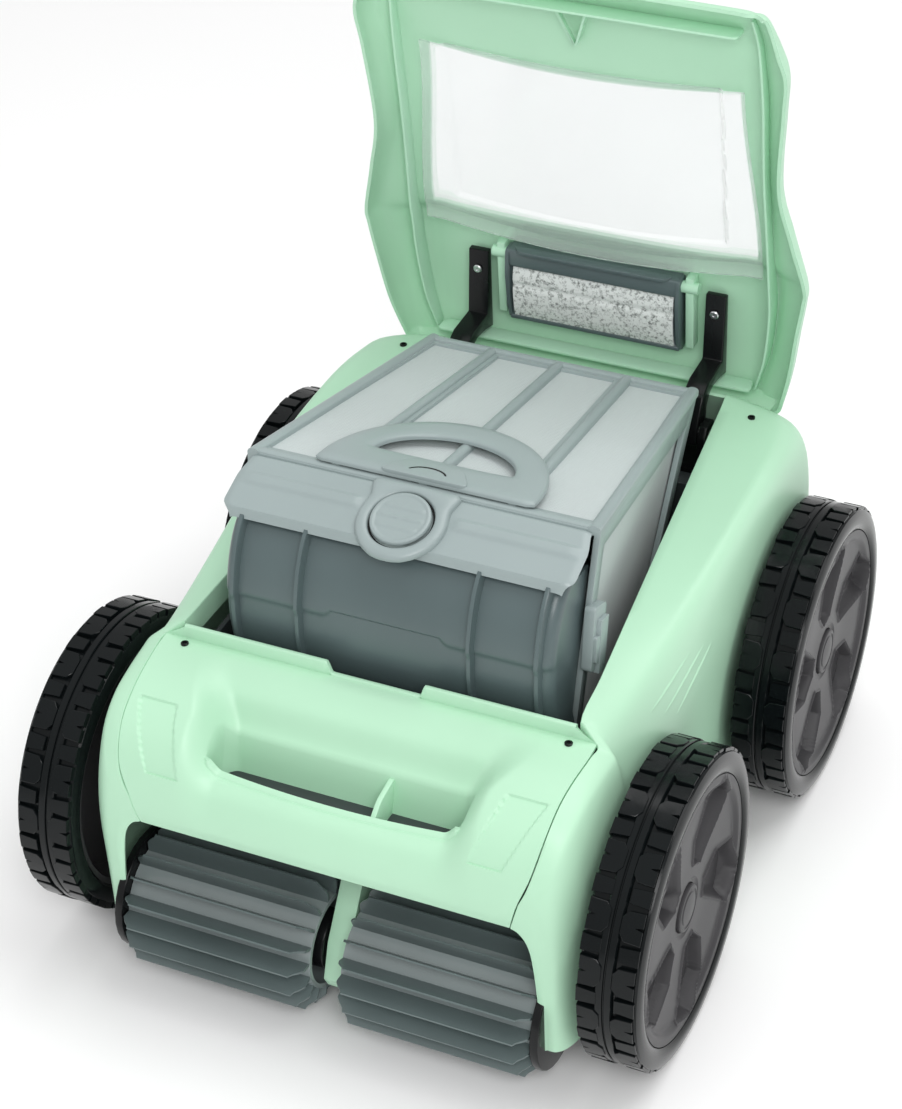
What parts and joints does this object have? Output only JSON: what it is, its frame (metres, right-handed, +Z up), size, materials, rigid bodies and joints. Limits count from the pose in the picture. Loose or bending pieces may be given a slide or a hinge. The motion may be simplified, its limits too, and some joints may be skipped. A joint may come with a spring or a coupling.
{
  "type": "robotic pool cleaner",
  "caption": "Wheeled robotic pool cleaner with lamella brush rollers, an open hinged lid with a window, and a lift-out filter basket with a carry handle.",
  "frame": {"origin": "on the ground, midway between the four wheels and on the centre plane", "axes": "+X to the right of somebody who faces the front rollers, +Y from the front to the rear, +Z up"},
  "size_m": [0.43, 0.4956, 0.5558],
  "materials": {
    "mint_plastic": "satin moulded, pale mint green",
    "chassis_plastic": "moulded, fine grain",
    "black_plastic": "satin moulded",
    "steel": "bright",
    "tyre_rubber": "glossy black tread",
    "wheel_plastic": "satin, warm dark grey",
    "brush_rubber": "grey-teal, slightly translucent lamellae",
    "clear_window": "clear moulded pane",
    "dark_grey_plastic": "satin moulded",
    "light_grey_plastic": "satin moulded",
    "filter_fabric": "fine filter mesh",
    "float_foam": "speckled closed-cell foam",
    "flap_rubber": "soft"
  },
  "bodies": {
    "chassis": {"lower_chassis": "chassis_plastic", "roller_divider": "mint_plastic", "pump_motor": "chassis_plastic", "outlet_grille": "black_plastic", "cable_gland": "black_plastic", "roller_shaft": "steel", "drive_unit_right": "chassis_plastic", "drive_unit_left": "chassis_plastic", "hinge_bracket_right": "black_plastic", "hinge_bracket_left": "black_plastic", "hinge_pin_right": "steel", "hinge_pin_left": "steel", "front_panel": "mint_plastic", "side_panel_right": "mint_plastic", "side_panel_left": "mint_plastic", "rear_panel": "mint_plastic", "deck_screw_front_right": "steel", "deck_screw_front_left": "steel", "deck_screw_rear_right": "steel", "deck_screw_rear_left": "steel"},
    "impeller": {"pump_impeller": "black_plastic"},
    "wheel_front_right": {"tyre_front_right": "tyre_rubber", "wheel_disc_front_right": "wheel_plastic", "hub_cap_front_right": "wheel_plastic", "axle_front_right": "steel"},
    "wheel_front_left": {"tyre_front_left": "tyre_rubber", "wheel_disc_front_left": "wheel_plastic", "hub_cap_front_left": "wheel_plastic", "axle_front_left": "steel"},
    "wheel_rear_right": {"tyre_rear_right": "tyre_rubber", "wheel_disc_rear_right": "wheel_plastic", "hub_cap_rear_right": "wheel_plastic", "axle_rear_right": "steel"},
    "wheel_rear_left": {"tyre_rear_left": "tyre_rubber", "wheel_disc_rear_left": "wheel_plastic", "hub_cap_rear_left": "wheel_plastic", "axle_rear_left": "steel"},
    "roller_right": {"brush_sleeve_right": "brush_rubber", "roller_core_right": "black_plastic"},
    "roller_left": {"brush_sleeve_left": "brush_rubber", "roller_core_left": "black_plastic"},
    "lid": {"lid_shell": "mint_plastic", "lid_window": "clear_window", "lid_arm_right": "black_plastic", "lid_arm_left": "black_plastic", "float_holder": "dark_grey_plastic", "float_foam": "float_foam"},
    "filter_rod": {"filter_pivot_rod": "steel"},
    "filter": {"filter_frame": "light_grey_plastic", "filter_mesh_top": "filter_fabric", "filter_mesh_right": "filter_fabric", "filter_mesh_left": "filter_fabric", "filter_door": "dark_grey_plastic", "filter_tray": "dark_grey_plastic", "inlet_flap": "flap_rubber", "filter_flap": "light_grey_plastic", "latch_clip": "light_grey_plastic"},
    "handle": {"carry_handle": "light_grey_plastic"},
    "button": {"latch_button": "light_grey_plastic"}
  },
  "joints": [
    {"name": "wheel_front_right_spin", "type": "hinge", "parent": "chassis", "child": "wheel_front_right", "pos_m": [0.1945, -0.138, 0.104], "axis": [1, 0, 0], "continuous": true},
    {"name": "wheel_front_left_spin", "type": "hinge", "parent": "chassis", "child": "wheel_front_left", "pos_m": [-0.1945, -0.138, 0.104], "axis": [1, 0, 0], "continuous": true},
    {"name": "wheel_rear_right_spin", "type": "hinge", "parent": "chassis", "child": "wheel_rear_right", "pos_m": [0.1945, 0.138, 0.104], "axis": [1, 0, 0], "continuous": true},
    {"name": "wheel_rear_left_spin", "type": "hinge", "parent": "chassis", "child": "wheel_rear_left", "pos_m": [-0.1945, 0.138, 0.104], "axis": [1, 0, 0], "continuous": true},
    {"name": "roller_right_spin", "type": "hinge", "parent": "chassis", "child": "roller_right", "pos_m": [0.077, -0.199, 0.052], "axis": [1, 0, 0], "continuous": true},
    {"name": "roller_left_spin", "type": "hinge", "parent": "chassis", "child": "roller_left", "pos_m": [-0.077, -0.199, 0.052], "axis": [1, 0, 0], "continuous": true},
    {"name": "impeller_spin", "type": "hinge", "parent": "chassis", "child": "impeller", "pos_m": [0, 0.22, 0.092], "axis": [0, 1, 0], "continuous": true},
    {"name": "lid_hinge", "type": "hinge", "parent": "chassis", "child": "lid", "pos_m": [0, 0.184, 0.231], "axis": [-1, 0, 0], "range_deg": [-88, 0]},
    {"name": "filter_lift", "type": "slide", "parent": "chassis", "child": "filter_rod", "axis": [0, 0, 1], "range_m": [0, 0.22]},
    {"name": "filter_tilt", "type": "hinge", "parent": "filter_rod", "child": "filter", "pos_m": [0, 0.17, 0.215], "axis": [-1, 0, 0], "range_deg": [-17, 0]},
    {"name": "handle_fold", "type": "hinge", "parent": "filter", "child": "handle", "pos_m": [0, -0.0581, 0.3216], "axis": [1, 0, 0], "range_deg": [0, 80]},
    {"name": "button_press", "type": "slide", "parent": "filter", "child": "button", "axis": [0, 0.3223, -0.9466], "range_m": [0, 0.003], "stiffness_N_per_m": 400}
  ],
  "couplings": [
    {"joint": "wheel_rear_right_spin", "follows": "wheel_front_right_spin", "ratio": 1},
    {"joint": "wheel_rear_left_spin", "follows": "wheel_front_left_spin", "ratio": 1},
    {"joint": "roller_right_spin", "follows": "wheel_front_right_spin", "ratio": 1.5},
    {"joint": "roller_left_spin", "follows": "wheel_front_left_spin", "ratio": 1.5},
    {"joint": "filter_tilt", "follows": "lid_hinge", "ratio": 0.193}
  ]
}
